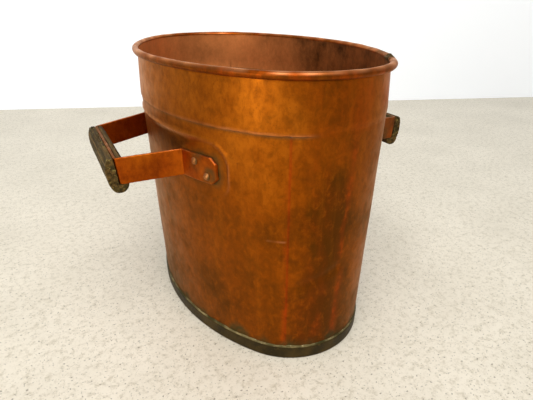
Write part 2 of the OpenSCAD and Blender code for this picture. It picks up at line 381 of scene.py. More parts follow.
half_seam = SEAM_WIDTH / 2 / perimeter
wall_turns = {
    "wall_sheet_left": (seam_back_turn + half_seam, seam_front_turn - half_seam),
    "wall_sheet_right": (seam_front_turn + half_seam, seam_back_turn + 1 - half_seam),
}
walls = {}
for node, (start, stop) in wall_turns.items():
    turns = spread(start, stop, GRID / perimeter)
    rings = [placed(heading_at(turn), wall_profile(), hammered) for turn in turns]
    mesh = skin_mesh(node + "_dressed", *loft(rings))
    walls[node] = add_piece(node + "_dressed", mesh, node)

# %% [markdown]
# ## The seams
# Brazing leaves a thin red line, a little proud, that wanders with the file that dressed it.
# Each seam is its own narrow piece between the two sheets.

# %% Build the seams
SEAM_PROUD = 0.12 * MM
SEAM_SECTION = ((-1, 0), (-0.5, 1), (0.5, 1), (1, 0), (1, -1), (-1, -1))


def seam_rings(middle):
    """Rings up the seam: each point has a side, and 1 for proud, 0 for flush, -1 for inner."""
    rings = []
    for z in spread(wall_low.z, collar_z - 2 * FILM, 2.5 * MM):
        ring = []
        for side, depth in SEAM_SECTION:
            wander = noise.noise(Vector((middle * 50, side, z * 40))) * 0.25
            turn = middle + (side + wander * (depth > 0)) * half_seam
            heading = heading_at(turn)
            lift = depth * SEAM_PROUD * (1 + noise.noise(Vector((z * 130, 0, 5))))
            out = wall_out(z) + (lift if depth >= 0 else -SHEET)
            ring += placed(heading, [(out, z)], hammered)
        rings.append(ring)
    return rings


seams = {}
for node, middle in (("seam_front", seam_front_turn), ("seam_back", seam_back_turn)):
    mesh = skin_mesh(node + "_dressed", *loft(seam_rings(middle)))
    seams[node] = add_piece(node + "_dressed", mesh, node)

# %% [markdown]
# ## The collar and its wired rim
# The collar fits over the wall like a cuff. Its lower edge was hammered down by hand, so it
# wanders, and near the front it is beaten nearly flush and fades away. Its top is curled
# outward over an iron wire, and the curl's raw edge leaves a dark groove under the roll.
# The section is one closed outline, swept once round.

# %% Beat the collar's edge
EDGE_WANDER = 1.9 * MM
EDGE_FINE = 0.75 * MM
FLUSH_FROM_DEGREES = 257
FLUSH_TO_DEGREES = 264
FLUSH_END_DEGREES = 318
STEP_AGAIN_DEGREES = 350


def edge_left(p):
    """How much of the step is left here: 1 stands full, near 0 is beaten flush."""
    degrees = round_degrees(p)
    fading = 1 - smoothstep(FLUSH_FROM_DEGREES, FLUSH_TO_DEGREES, degrees)
    rising = smoothstep(FLUSH_END_DEGREES, STEP_AGAIN_DEGREES, degrees)
    beaten = 0.12 * hump(degrees, 212, 16)
    patch = 0.85 + 0.35 * noise.noise(Vector((p.x * 25, p.y * 25, 2)))
    return max(0.0, fading - beaten, rising) * min(1.0, patch)


def edge_z(flat, fine):
    """The height of the collar's wandering edge, with small nicks of this depth."""
    wander = noise.noise(flat * 28) * EDGE_WANDER + noise.noise(flat * 160) * fine
    return collar_z + wander * min(1, edge_left(flat) + 0.3)


print("step left at the near end", round(edge_left(Vector((0, -1, 0))), 2))

# %% Build the collar
ROLL_DENTS = 0.3 * MM
BREAK_DEGREES = 302
BREAK_WIDE = 4.2
BREAK_LUMP = 3.4 * MM
ROLL_FROM = -122


def rim_break(p):
    """Where the roll was once broken and mended with a lump of solder."""
    return hump(round_degrees(p), BREAK_DEGREES, BREAK_WIDE)


def collar_ring(turn):
    """The collar's section: up its outer face, round the roll and down its inner face."""
    heading = heading_at(turn)
    flat = flat_place(heading)
    left = edge_left(flat)
    low_z = edge_z(flat, EDGE_FINE)
    lowest_out = wall_out(collar_z) - 0.35 * MM
    groove_z = roll_z - roll_radius

    def outer(z):
        near = 1 - smoothstep(0, 13 * MM, z - low_z)
        return collar_out(z) + (lowest_out - collar_out(z)) * near * (1 - left)

    section = []
    for z in [low_z + 0.6 * MM] + evenly(low_z + 2.2 * MM, groove_z, 24):
        section.append((outer(z), z))
    section.append((-0.2 * MM, groove_z + 0.8 * MM))
    dented = roll_radius + noise.noise(flat * 42 + Vector((0, 0, 9))) * ROLL_DENTS
    for angle in range(ROLL_FROM, 181, 11):
        reach = dented * (0.88 if angle == ROLL_FROM else 1)
        lump = noise.noise(flat * 260 + Vector((0, 0, angle / 40)))
        reach += rim_break(flat) * smoothstep(40, 120, angle) * BREAK_LUMP * (0.3 + lump)
        a = math.radians(angle)
        section.append((roll_out + reach * math.cos(a), roll_z + reach * math.sin(a)))
    for z in evenly(roll_z - MM, low_z + 0.4 * MM, 18):
        section.append((min(collar_out(z) - SHEET, outer(z) - 0.5 * MM), z))
    section.append((outer(low_z) - 0.5 * MM, low_z))
    section.append((outer(low_z) - 0.15 * MM, low_z + 0.1 * MM))
    return placed(heading, section, lambda p: hammered(Vector((p.x, p.y, min(p.z, roll_z)))))


round_turns = spread(0, 1, 2 * MM / perimeter)[:-1]
collar_rings = [collar_ring(turn) for turn in round_turns]
mesh = skin_mesh("collar_dressed", *loft(collar_rings, closed_path=True))
collar = add_piece("collar_dressed", mesh, "collar")

# %% [markdown]
# ## Solder and the bottom pan
# The pan is a shallow tray that the wall stands in. Its flange is wiped with solder along the
# top, and years on wet floors have turned it olive black. The solder is a bead of changing
# thickness, so its size follows noise. The floor of the pan is drawn as shrinking copies of
# the outline, which keeps the faces even on an oval.

# %% Build the bottom pan
pan_low, pan_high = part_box("bottom_pan")
PAN_SHEET = 2 * MM
FLANGE_WANDER = 0.5 * MM
FLOOR_SAG = 0.8 * MM
FLOOR_SHARES = (0.96, 0.88, 0.78, 0.66, 0.52, 0.38, 0.24, 0.1)
flange_z = pan_high.z


def foot_calm(p):
    """The pan keeps flat on the ground: the hammering fades in above it."""
    return hammered(p) * smoothstep(0, 12 * MM, p.z)


def flange_ring(turn):
    """The pan's edge: under the rounded foot, up the flange and down its inner side."""
    heading = heading_at(turn)
    top = flange_z + noise.noise(flat_place(heading) * 30) * FLANGE_WANDER - 0.2 * MM
    section = [(-2 * MM, 0.0), (0.6 * MM, 0.1 * MM), (1.7 * MM, 0.9 * MM), (2.1 * MM, 2.2 * MM)]
    section += [(2.1 * MM, z) for z in evenly(4 * MM, top - 0.9 * MM, 7)]
    section += [(1.7 * MM, top - 0.2 * MM), (1.1 * MM, top), (0.1 * MM, top - 0.1 * MM)]
    section += [(0.1 * MM, 8 * MM), (0.1 * MM, PAN_SHEET), (-2 * MM, PAN_SHEET)]
    return placed(heading, [(wall_out(z) + out, z) for out, z in section], foot_calm)


def shrunk(edge, share, z):
    """A copy of an outline drawn in towards the middle, as a floor of changing height."""
    ring = []
    for p in edge:
        q = Vector((p.x * share, p.y * share, z))
        q.z += noise.noise(Vector((q.x, q.y, 0)) * 22) * FLOOR_SAG * (z > MM) * (1 - share ** 8)
        ring.append(q)
    return ring


def pan_mesh():
    """The flange, with an inner and an outer floor joined to its two lower edges."""
    rings = [flange_ring(turn) for turn in round_turns]
    verts, faces = loft(rings, closed_path=True)
    size = len(rings[0])
    last = size - 1
    faces = [f for f in faces if not {f[0] % size, f[1] % size} == {0, last}]
    for index, z in ((last, PAN_SHEET), (0, 0.0)):
        edge = [ring[index] for ring in rings]
        below = [i * size + index for i in range(len(rings))]
        for share in FLOOR_SHARES:
            start = len(verts)
            verts += shrunk(edge, share, z)
            above = list(range(start, start + len(edge)))
            for i in range(len(edge)):
                k = (i + 1) % len(edge)
                faces.append((below[i], below[k], above[k], above[i]))
            below = above
        faces.append(tuple(below))
    return skin_mesh("bottom_pan_dressed", verts, faces)


pan = add_piece("bottom_pan_dressed", pan_mesh(), "bottom_pan")

# %% Wipe on the solder
PAN_BEAD_TALL = 3.3 * MM
COLLAR_BEAD_TALL = 0.9 * MM
BEAD_BEHIND = 0.8 * MM


def bead_ring(turn, foot_z, tall, deep, above):
    """A rounded fillet between the wall and an edge that stands out from it."""
    heading = heading_at(turn)
    flat = flat_place(heading)
    fat = 0.75 + 0.5 * noise.noise(flat * 33) + 0.35 * noise.noise(flat * 140)
    section = []
    for degrees in (0, 22, 45, 68, 90):
        a = math.radians(degrees)
        out = deep * (1 - (1 - math.cos(a)) ** 0.8) * (0.8 + 0.2 * fat) - FILM
        section.append((out, foot_z + above * tall * fat * math.sin(a) ** 1.4))
    section.append((-BEAD_BEHIND, foot_z + above * tall * fat))
    section.append((-BEAD_BEHIND, foot_z - above * BEAD_BEHIND))
    return placed(heading, [(wall_out(z) + out, z) for out, z in section], hammered)


def pan_bead(turn):
    return bead_ring(turn, flange_z - 0.4 * MM, PAN_BEAD_TALL, PAN_SHEET, 1)


def collar_bead(turn):
    flat = flat_place(heading_at(turn))
    deep = (1.2 * edge_left(flat) - 0.4) * MM
    return bead_ring(turn, edge_z(flat, 0) + 0.3 * MM, COLLAR_BEAD_TALL, deep, -1)


beads = {}
for node, bead in (("pan_solder", pan_bead), ("collar_solder", collar_bead)):
    skin = loft([bead(turn) for turn in round_turns], closed_path=True)
    beads[node] = add_piece(node + "_dressed", skin_mesh(node + "_dressed", *skin), node)

# %% [markdown]
# ## Worn bars, rivets and wood
# A forged bar, a hammered rivet and a wooden grip have no sharp edge left after a century of
# hands. The engineering shapes are right but crisp. So a copy of each is filled with small
# cells and skinned again, which rounds every edge at once, then smoothed, and then moved a
# little by noise: long waves on bars, cracks and grooves along the grain on wood.

# %% Soften a copy of a node
def worn_mesh(node, cell, rounds, shift):
    """A copy of a node's shape, skinned again with soft edges and moved by a function."""
    name = node + "_dressed"
    loose = bmesh.new()
    loose.from_mesh(nodes[node].data)
    bmesh.ops.remove_doubles(loose, verts=loose.verts, dist=MM / 1000)
    source = bpy.data.meshes.new(name + "_source")
    loose.to_mesh(source)
    loose.free()
    holder = bpy.data.objects.new(name + "_holder", source)
    bpy.context.scene.collection.objects.link(holder)
    remesh = holder.modifiers.new("cells", "REMESH")
    remesh.mode = "VOXEL"
    remesh.voxel_size = cell
    soften = holder.modifiers.new("soften", "SMOOTH")
    soften.factor = 0.5
    soften.iterations = rounds
    ready = holder.evaluated_get(bpy.context.evaluated_depsgraph_get())
    mesh = bpy.data.meshes.new_from_object(ready)
    mesh.name = name
    bpy.data.objects.remove(holder)
    moves = [v.normal * shift(v.co) for v in mesh.vertices]
    for vertex, move in zip(mesh.vertices, moves):
        vertex.co = vertex.co + move
    return mesh


def bar_wear(p):
    """Long waves with small dents on them."""
    return noise.noise(p * 22) * 0.25 * MM + noise.noise(p * 110) * 0.06 * MM


def rivet_wear(p):
    """Each dome was hammered by hand, so no two are alike."""
    return noise.noise(p * 260) * 0.35 * MM + noise.noise(p * 700) * 0.08 * MM


def wood_wear(p):
    """Grooves and cracks that run along Y, the way the grain does."""
    grain = noise.noise(Vector((p.x * 420, p.y * 14, p.z * 420)))
    fibres = noise.noise(Vector((p.x * 1100, p.y * 30, p.z * 1100)))
    crack = noise.noise(Vector((p.x * 150 + 3, p.y * 7, p.z * 150)))
    split = -1.3 * MM * max(0.0, 1 - abs(crack) / 0.045) * (noise.noise(p * 30) > -0.1)
    return grain * 0.28 * MM + fibres * 0.12 * MM + split + noise.noise(p * 40) * 0.4 * MM


# %% Dress the straps, grips and rivets
BAR_CELL, BAR_ROUNDS = 0.85 * MM, 8
WOOD_CELL, WOOD_ROUNDS = 0.9 * MM, 4
RIVET_CELL, RIVET_ROUNDS = 0.42 * MM, 3


def worn_piece(node, cell, rounds, wear):
    return add_piece(node + "_dressed", worn_mesh(node, cell, rounds, wear), node)


straps, grips, rivets = [], [], {}
for side in ("left", "right"):
    straps.append(worn_piece("handle_strap_" + side, BAR_CELL, BAR_ROUNDS, bar_wear))
    grips.append(worn_piece("grip_" + side, WOOD_CELL, WOOD_ROUNDS, wood_wear))
    for node in (f"rivets_{side}_front", f"rivets_{side}_back"):
        rivets[node] = worn_piece(node, RIVET_CELL, RIVET_ROUNDS, rivet_wear)

# %% [markdown]
# ## Masks for dirt, tarnish, painted shade and painted highlights
# Dirt isn't spread evenly: it gathers where a cloth can't reach, above the pan and round the
# rivets, and a painted shadow is laid under the collar's edge. Those places are known here, so
# each point of a piece gets numbers that say how dirty and shadowed, how tarnished and shaded,
# how red and how brightened by painted highlights and a scratch it is, and whether it is inside.
# The pan, its solder, the bars and the rivets each keep dirt in their own way. The materials
# read the numbers by name, and add finer detail of their own.

# %% Find the rivets
RIVETS_APART = 12 * MM
rivet_places = []
for node in rivets:
    for v in nodes[node].data.vertices:
        if not any((v.co - p).length < RIVETS_APART for p in rivet_places):
            rivet_places.append(v.co.copy())
print("rivets found", len(rivet_places))

# %% Find the riveted feet and the inside
FOOT_CORNER = 8 * MM
FOOT_LENGTH = 50 * MM
FOOT_LEAST_X = 50 * MM
PLATE_EDGE = 18 * MM
foot_end_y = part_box("handle_strap_right")[1].y
foot_low_z, foot_high_z = plate_low.z + PLATE_EDGE, plate_high.z - PLATE_EDGE


def near_foot(p):
    """Distance outside the riveted feet, measured along the wall."""
    if abs(p.x) < FOOT_LEAST_X:
        return FAR
    dy = max(abs(p.y) - foot_end_y + FOOT_CORNER, foot_end_y - FOOT_LENGTH - abs(p.y), 0)
    dz = max(p.z - foot_high_z + FOOT_CORNER, foot_low_z + FOOT_CORNER - p.z, 0)
    return math.hypot(dy, dz) - FOOT_CORNER + 1.5 * MM * noise.noise(p * 70)


def is_inside(p, n):
    """1 for points on the inner side of the sheets, which face the middle."""
    heading = math.atan2(abs(p.y), abs(p.x) + side_x)
    if heading > side_turn:
        heading = math.atan2(abs(p.y) - end_y, abs(p.x))
    facing = n.x * math.copysign(math.cos(heading), p.x)
    facing += n.y * math.copysign(math.sin(heading), p.y)
    return 1.0 if facing < -0.3 and p.z < roll_z else 0.0


def on_roll(p):
    """0 on the sheet, rising to 1 on the rolled rim."""
    return smoothstep(roll_z - roll_radius - MM, roll_z - roll_radius + 2 * MM, p.z)


print("feet from y", round(foot_end_y - FOOT_LENGTH, 3), "to", round(foot_end_y, 3))

# %% Spread the dirt, and paint a shadow under the collar's edge
NEAR_END_DEGREES = 270
LEFT_PATCH_DEGREES = 237
BRIGHT_SOLDER_DEGREES = 260
PAN_DIRT = 0.35


def dirt_and_shadow(p, n):
    """Caked above the pan, round the feet and on the mended rim, with a painted shadow under the
    collar's edge.
    """
    patchy = 0.6 + 0.9 * noise.noise(p * 45)
    degrees = round_degrees(p)
    caked = hump(degrees, NEAR_END_DEGREES, 7) + 0.8 * hump(degrees, LEFT_PATCH_DEGREES, 8)
    patchy += 0.55 * caked * (0.6 + noise.noise(p * 130))
    pan_ring = 1 - smoothstep(2 * MM, 20 * MM * (0.2 + patchy), p.z - flange_z)
    # Painted shadow: a dark band just below the collar's lower edge, where its step stands.
    shadow_under_edge = 1 - smoothstep(0, 5 * MM, max(collar_z - p.z, 4 * (p.z - collar_z)))
    step = edge_left(p) * shadow_under_edge
    beside = near_foot(p)
    outline = 1 - smoothstep(0.5 * MM, 3 * MM, beside)
    halo = (1 - smoothstep(2 * MM, 10 * MM, beside)) * patchy
    mended = rim_break(p) * smoothstep(roll_z - roll_radius, roll_z, p.z)
    return max(1.1 * pan_ring * patchy, 0.7 * step, 0.9 * outline, 0.45 * halo, 1.4 * mended)


def pan_dirt(p, n):
    """Even, because the pan is dark all over and its finish has its own patches."""
    return PAN_DIRT


def solder_dirt(p, n):
    """The pan's solder shows bright round the near end, and is caked elsewhere."""
    wiped = hump(round_degrees(p), BRIGHT_SOLDER_DEGREES, 30)
    return 0.95 - 0.8 * wiped + 0.9 * noise.noise(p * 60)


print("dirt above the pan", round(dirt_and_shadow(Vector((0, -0.25, flange_z + 3 * MM)), None), 2))

# %% Let the copper tarnish, and paint its shade
DARK_BAND_DEGREES = 269.5
BAND_TOP_FROM, BAND_TOP_TO = 0.24, 0.32
NEAR_SHADE_DEGREES = 267
RIGHT_SHADE_DEGREES = 305
LEFT_SHADE_DEGREES = 190


def inner_tone_and_painted_light(degrees, cloud):
    """The inside is dark, in painted shade, with painted light on the far wall, strongest just left of
    its middle, weaker at the left end and none at the right end or the near side.
    """
    signed = (degrees + 90) % 360 - 90
    painted_light = smoothstep(15, 80, signed) - 0.45 * smoothstep(140, 190, signed)
    painted_light -= 0.55 * smoothstep(200, 262, signed)
    return 0.78 + cloud - 0.6 * painted_light


def tarnish_and_shade(p, n):
    """Broad clouds of darker metal, darker near the front and heavier on the rim, with painted shade
    low down and on the right.
    """
    degrees = round_degrees(p)
    cloud = noise.noise(p * 9 + Vector((5, 0, 0))) * 0.13 + noise.noise(p * 26) * 0.08
    if is_inside(p, n):
        return inner_tone_and_painted_light(degrees, cloud)
    band_at = DARK_BAND_DEGREES + 2 * noise.noise(Vector((0, 0, p.z * 20)))
    band = hump(degrees, band_at, 2.6) * (1 - smoothstep(BAND_TOP_FROM, BAND_TOP_TO, p.z))
    # Painted shade: the wall grows darker low down.
    low = 0.36 * (1 - smoothstep(0.2, 0.37, p.z)) + 0.12 * (1 - smoothstep(0.03, 0.2, p.z))
    # Darker near the front, and further right on the upper wall, where the darkening is painted shade.
    right = 0.36 * hump(degrees, NEAR_SHADE_DEGREES, 9)
    right += 0.34 * hump(degrees, RIGHT_SHADE_DEGREES, 17) * smoothstep(0.15, 0.33, p.z)
    left = 0.08 * hump(degrees, LEFT_SHADE_DEGREES, 25)
    return 0.21 + cloud + 0.4 * band + low + right + left + 0.5 * on_roll(p)


print("shades at", NEAR_SHADE_DEGREES, RIGHT_SHADE_DEGREES, "and", LEFT_SHADE_DEGREES, "degrees")

# %% Paint highlights and a scratch, and let it run red
CREST_OUT = 1.2 * MM
CREST_WIDTH = 1.2 * MM
SCRATCH_Z = 0.195
FLUSHED_DEGREES = 286
RED_STREAKS = ((SEAM_DEGREES + 180, 0.8, 0.7), (272.8, 1.3, 1.0),
               (SEAM_DEGREES, 0.8, 0.7), (264, 6, 0.3))


def painted_highlight_and_wear(p, n):
    """Painted highlights on the ridge's crest, the rim's top and the step's lip, and one pale scratch
    of real wear.
    """
    # The crest's painted highlight is stronger on the plate's upper half; the rim's top and the step's
    # lip get painted highlights too.
    crest_highlight = hump(beyond_plate(p), CREST_OUT + ridge_wander(p), CREST_WIDTH)
    crest_highlight *= (0.5 + 0.6 * noise.noise(p * 35)) * smoothstep(plate_low.z, plate_mid_z, p.z)
    rim = smoothstep(roll_z, roll_z + roll_radius, p.z) * (0.35 + 0.9 * noise.noise(p * 50))
    step = hump(p.z, collar_z + MM, 1.6 * MM) * edge_left(p)
    degrees = round_degrees(p)
    scratch = hump(p.z, SCRATCH_Z, MM) * smoothstep(248.5, 249.5, degrees)
    scratch *= (1 - smoothstep(254, 255, degrees)) * (0.5 + 1.2 * noise.noise(p * 90))
    return 0.7 * crest_highlight + 0.9 * rim + 0.6 * step * (0.7 + 0.6 * noise.noise(p * 60)) + 0.3 * scratch


def reddened(p, n):
    """Red streaks down beside the seams and right of them, and a flush above on the collar."""
    degrees = round_degrees(p)
    total = 0.0
    for middle, wide, strength in RED_STREAKS:
        wander = noise.noise(Vector((middle, 0, p.z * 25))) * 0.7
        patchy = 0.35 + 0.9 * noise.noise(Vector((middle, degrees * 0.4, p.z * 30)))
        patchy += 0.5 * (1 - smoothstep(0.05, 0.2, p.z))
        total += strength * patchy * hump(degrees, middle + wander, wide)
    above = smoothstep(collar_z - 5 * MM, collar_z + 2 * MM, p.z)
    rim = 0.5 * on_roll(p) * (0.8 + noise.noise(p * 40))
    flushed = 0.75 * hump(degrees, FLUSHED_DEGREES, 20) * (0.7 + noise.noise(p * 32))
    return min(1.0, max(0.0, total)) * (1 - above) + max(rim, flushed * above)


print("red streaks", len(RED_STREAKS))

# %% Masks of the bars and rivets
grip_half_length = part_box("grip_right")[1].y


def bar_dirt(p, n):
    """Rings round the rivets, the right handle darker all over, and the middle that is held."""
    gap = min((p - q).length for q in rivet_places)
    ring = 0.85 * (1 - smoothstep(6 * MM, 15 * MM, gap)) * (0.6 + 0.8 * noise.noise(p * 80))
    right_handle_darker = 0.85 * smoothstep(0, 0.15, p.x) * (0.7 + noise.noise(p * 40))
    held = 0.7 * smoothstep(0.5, 0.9, n.z) * (abs(p.y) < grip_half_length)
    return max(ring, right_handle_darker, held)


def rivet_dirt(p, n):
    """Only the foot of a rivet's dome keeps dirt."""
    return 0.8 - smoothstep(0.2, 0.7, abs(n.x)) + 0.4 * noise.noise(p * 150)


def bar_highlight(p, n):
    """The upward-facing faces of a bar get a painted highlight."""
    return smoothstep(0.5, 0.95, n.z) * (0.3 + 0.5 * noise.noise(p * 60))


def bar_tarnish_and_shade(p, n):
    """Clouds of tarnish, with painted shade on the sides that face the wall or each other."""
    inward_shade = smoothstep(0.2, 0.8, -n.x * math.copysign(1, p.x))
    facing = smoothstep(0.4, 0.9, -n.y * math.copysign(1, p.y))
    return 0.35 + 0.35 * noise.noise(p * 30) + max(0.5 * inward_shade, 0.2 * facing)


def bar_redness(p, n):
    return 0.2 + 0.35 * noise.noise(p * 18)


def outside(p, n):
    return 0.0


print("half a grip is", round(grip_half_length, 4))

# %% Paint the masks
MASKS = ("dirt_and_shadow", "tarnish_and_shade", "reddened", "painted_highlight_and_wear", "inside")


def paint_masks(pieces, *value_functions):
    """Paints each mask with its function, given in the masks' order."""
    for piece in pieces:
        for name, value_at in zip(MASKS, value_functions):
            paint(piece.data, name, value_at)


sheet_masks = (tarnish_and_shade, reddened, painted_highlight_and_wear, is_inside)
bar_masks = (bar_tarnish_and_shade, bar_redness, bar_highlight, outside)
paint_masks([*walls.values(), *seams.values(), collar], dirt_and_shadow, *sheet_masks)
paint_masks([pan], pan_dirt, *sheet_masks)
paint_masks([beads["pan_solder"]], solder_dirt, *sheet_masks)
paint_masks([beads["collar_solder"]], dirt_and_shadow, *sheet_masks)
paint_masks(straps, bar_dirt, *bar_masks)
paint_masks(rivets.values(), rivet_dirt, *bar_masks)
print("masks painted:", ", ".join(MASKS))

# %% [markdown]
# ## Materials
# Each finish is a small network of nodes over the object's own coordinates, in metres. Old
# copper is a metal under a thin, uneven brown oxide, so its colour comes from five layers:
# broad clouds, blotches, streaks that run down the wall, a fine mottle and dark freckles. The
# masks are laid over them, and bring painted shade, painted light and painted highlights with
# the dirt and tarnish. Roughness follows the clouds, blotches and dirt, because oxide and dirt
# are duller than metal. No image is used anywhere.

# %% Helpers for places and noise
def start_material(name):
    material = bpy.data.materials.new(name)
    material.use_nodes = True
    tree = material.node_tree
    return material, tree, tree.nodes["Principled BSDF"]


def plug(tree, value, socket):
    """Links a socket, or sets a plain value."""
    if isinstance(value, bpy.types.NodeSocket):
        tree.links.new(value, socket)
    else:
        socket.default_value = value


def object_place(tree, stretch=(1, 1, 1)):
    place = tree.nodes.new("ShaderNodeTexCoord").outputs["Object"]
    mapping = tree.nodes.new("ShaderNodeMapping")
    mapping.inputs["Scale"].default_value = stretch
    tree.links.new(place, mapping.inputs["Vector"])
    return mapping.outputs["Vector"]


def grain_of(tree, place, scale, detail=4, rough=0.55, twist=0.0):
    """A noise texture's value, from 0 to 1."""
    texture = tree.nodes.new("ShaderNodeTexNoise")
    texture.inputs["Scale"].default_value = scale
    texture.inputs["Detail"].default_value = detail
    texture.inputs["Roughness"].default_value = rough
    texture.inputs["Distortion"].default_value = twist
    tree.links.new(place, texture.inputs["Vector"])
    return texture.outputs["Fac"]


def mask(tree, name):
    """Reads one of the painted masks."""
    node = tree.nodes.new("ShaderNodeAttribute")
    node.attribute_name = name
    return node.outputs["Fac"]


print("noise helpers ready")

# %% Helpers for mixing
def between(tree, value, low, high, to_low=0.0, to_high=1.0):
    """Stretches a value from one range to another, and holds it there."""
    node = tree.nodes.new("ShaderNodeMapRange")
    node.interpolation_type = "SMOOTHSTEP"
    for socket, number in zip(node.inputs[1:5], (low, high, to_low, to_high)):
        socket.default_value = number
    plug(tree, value, node.inputs["Value"])
    return node.outputs["Result"]


def sum_of(tree, kind, a, b):
    node = tree.nodes.new("ShaderNodeMath")
    node.operation = kind
    node.use_clamp = True
    plug(tree, a, node.inputs[0])
    plug(tree, b, node.inputs[1])
    return node.outputs["Value"]


def blend_colours(tree, amount, under, over):
    node = tree.nodes.new("ShaderNodeMix")
    node.data_type = "RGBA"
    plug(tree, amount, node.inputs["Factor"])
    plug(tree, under, node.inputs["A"])
    plug(tree, over, node.inputs["B"])
    return node.outputs["Result"]


def roughen(tree, shader, height, strength, distance):
    """Fine relief that is too small for the mesh."""
    bump = tree.nodes.new("ShaderNodeBump")
    bump.inputs["Strength"].default_value = strength
    bump.inputs["Distance"].default_value = distance
    tree.links.new(height, bump.inputs["Height"])
    tree.links.new(bump.outputs["Normal"], shader.inputs["Normal"])


print("mixing helpers ready")

# %% The copper finish
def linear(red, green, blue):
    """A colour given as 0 to 255 on a screen, as the light values that shaders use."""
    def one(c):
        c /= 255
        return c / 12.92 if c <= 0.04045 else ((c + 0.055) / 1.055) ** 2.4
    return (one(red), one(green), one(blue), 1)


def copper_finish(name, bright, middle, dark, rough=0.36):
    """Copper in three colours, from bright metal to dark oxide and painted shade."""
    bright, middle, dark = linear(*bright), linear(*middle), linear(*dark)
    material, tree, shader = start_material(name)
    place = object_place(tree)
    falling = object_place(tree, (55, 55, 4))
    clouds = grain_of(tree, place, 16, 6, 0.62)
    blotches = grain_of(tree, place, 55, 5, 0.6, 0.6)
    streaks = grain_of(tree, falling, 1.0, 5, 0.65)
    mottle = grain_of(tree, object_place(tree, (1, 1, 0.7)), 120, 6, 0.72, 0.3)
    freckles = between(tree, grain_of(tree, place, 430, 3, 0.7), 0.6, 0.72)
    # The tone carries the tarnish and the painted shade from the tarnish mask.
    tone = sum_of(tree, "ADD", mask(tree, "tarnish_and_shade"), between(tree, clouds, 0.3, 0.75, -0.1, 0.2))
    tone = sum_of(tree, "ADD", tone, between(tree, mottle, 0.36, 0.62, -0.07, 0.05))
    colour = blend_colours(tree, between(tree, tone, 0.0, 0.55), bright, middle)
    colour = blend_colours(tree, between(tree, tone, 0.45, 1.0), colour, dark)
    colour = blend_colours(tree, between(tree, blotches, 0.5, 0.75, 0, 0.3), colour, dark)
    colour = blend_colours(tree, between(tree, streaks, 0.5, 0.78, 0, 0.3), colour, bright)
    colour = blend_colours(tree, between(tree, mottle, 0.45, 0.7, 0, 0.28), colour, dark)
    colour = blend_colours(tree, between(tree, mottle, 0.28, 0.48, 0.28, 0), colour, bright)
    colour = blend_colours(tree, sum_of(tree, "MULTIPLY", freckles, 0.4), colour, linear(62, 26, 8))
    ragged = sum_of(tree, "MULTIPLY", mask(tree, "reddened"),
                    between(tree, mottle, 0.35, 0.6, 0.95, 0.45))
    colour = blend_colours(tree, ragged, colour, linear(174, 66, 8))
    # Inside, the painted light on the far wall takes the bright colour and the painted shade the dark
    # one.
    colour = blend_colours(tree, mask(tree, "inside"), colour, blend_colours(
        tree, tone, linear(222, 136, 74), linear(64, 34, 8)))
    # Painted highlights, and the scratch, take a pale pink copper.
    colour = blend_colours(tree, mask(tree, "painted_highlight_and_wear"), colour, linear(206, 132, 84))
    # Dirt, and the painted shadow under the collar's edge, turn the copper dark olive, dull and less
    # metallic.
    dirt_and_shade_amount = sum_of(tree, "MULTIPLY", mask(tree, "dirt_and_shadow"), between(tree, blotches, 0.25, 0.6, 0.5, 1))
    green = blend_colours(tree, clouds, linear(76, 62, 22), linear(46, 36, 12))
    colour = blend_colours(tree, dirt_and_shade_amount, colour, green)
    plug(tree, colour, shader.inputs["Base Color"])
    bare = sum_of(tree, "SUBTRACT", between(tree, dirt_and_shade_amount, 0, 1, 1.0, 0.4),
                  sum_of(tree, "MULTIPLY", mask(tree, "inside"), 0.5))
    plug(tree, bare, shader.inputs["Metallic"])
    shader.inputs["Coat Weight"].default_value = 0.04
    shader.inputs["Coat Roughness"].default_value = 0.4
    dull = sum_of(tree, "ADD", between(tree, blotches, 0.3, 0.7, 0, 0.12),
                  sum_of(tree, "MULTIPLY", dirt_and_shade_amount, 0.25))
    dull = sum_of(tree, "ADD", dull, between(tree, clouds, 0.3, 0.7, rough - 0.05, rough + 0.07))
    dull = sum_of(tree, "SUBTRACT", dull, sum_of(tree, "MULTIPLY", mask(tree, "painted_highlight_and_wear"), 0.16))
    plug(tree, dull, shader.inputs["Roughness"])
    shader.inputs["Specular IOR Level"].default_value = 0.15
    shader.inputs["Specular Tint"].default_value = (1, 0.84, 0.66, 1)
    fine = sum_of(tree, "ADD", sum_of(tree, "MULTIPLY", grain_of(tree, place, 240, 4, 0.6), 0.5),
                  sum_of(tree, "MULTIPLY", blotches, 0.5))
    roughen(tree, shader, fine, 0.35, 0.4 * MM)
    return material


sheet_copper = copper_finish("old_sheet_copper", (182, 99, 15), (142, 70, 4), (90, 49, 4))
strap_copper = copper_finish("old_bar_copper", (180, 90, 10), (142, 62, 4), (84, 26, 1), 0.4)
rivet_copper = copper_finish("old_rivet_copper", (176, 122, 72), (132, 86, 44), (74, 46, 20), 0.34)
seam_copper = copper_finish("brazed_seam", (178, 88, 14), (146, 62, 4), (96, 40, 4))
for pieces, finish in (([*walls.values(), collar], sheet_copper), (seams.values(), seam_copper),
                       (straps, strap_copper), (rivets.values(), rivet_copper)):
    for piece in pieces:
        piece.data.materials.append(finish)
    print(finish.name, "on", len(pieces), "pieces")

# %% [markdown]
# ## The pan, the solder and the hidden metal
# The pan's oxide is nearly black with an olive cast, and mostly not metallic to the eye.
# Solder is a grey metal that tans and greens with age. The backing plates, the nails and the
# wire keep the engineering model's own shapes, and only get their finish here.

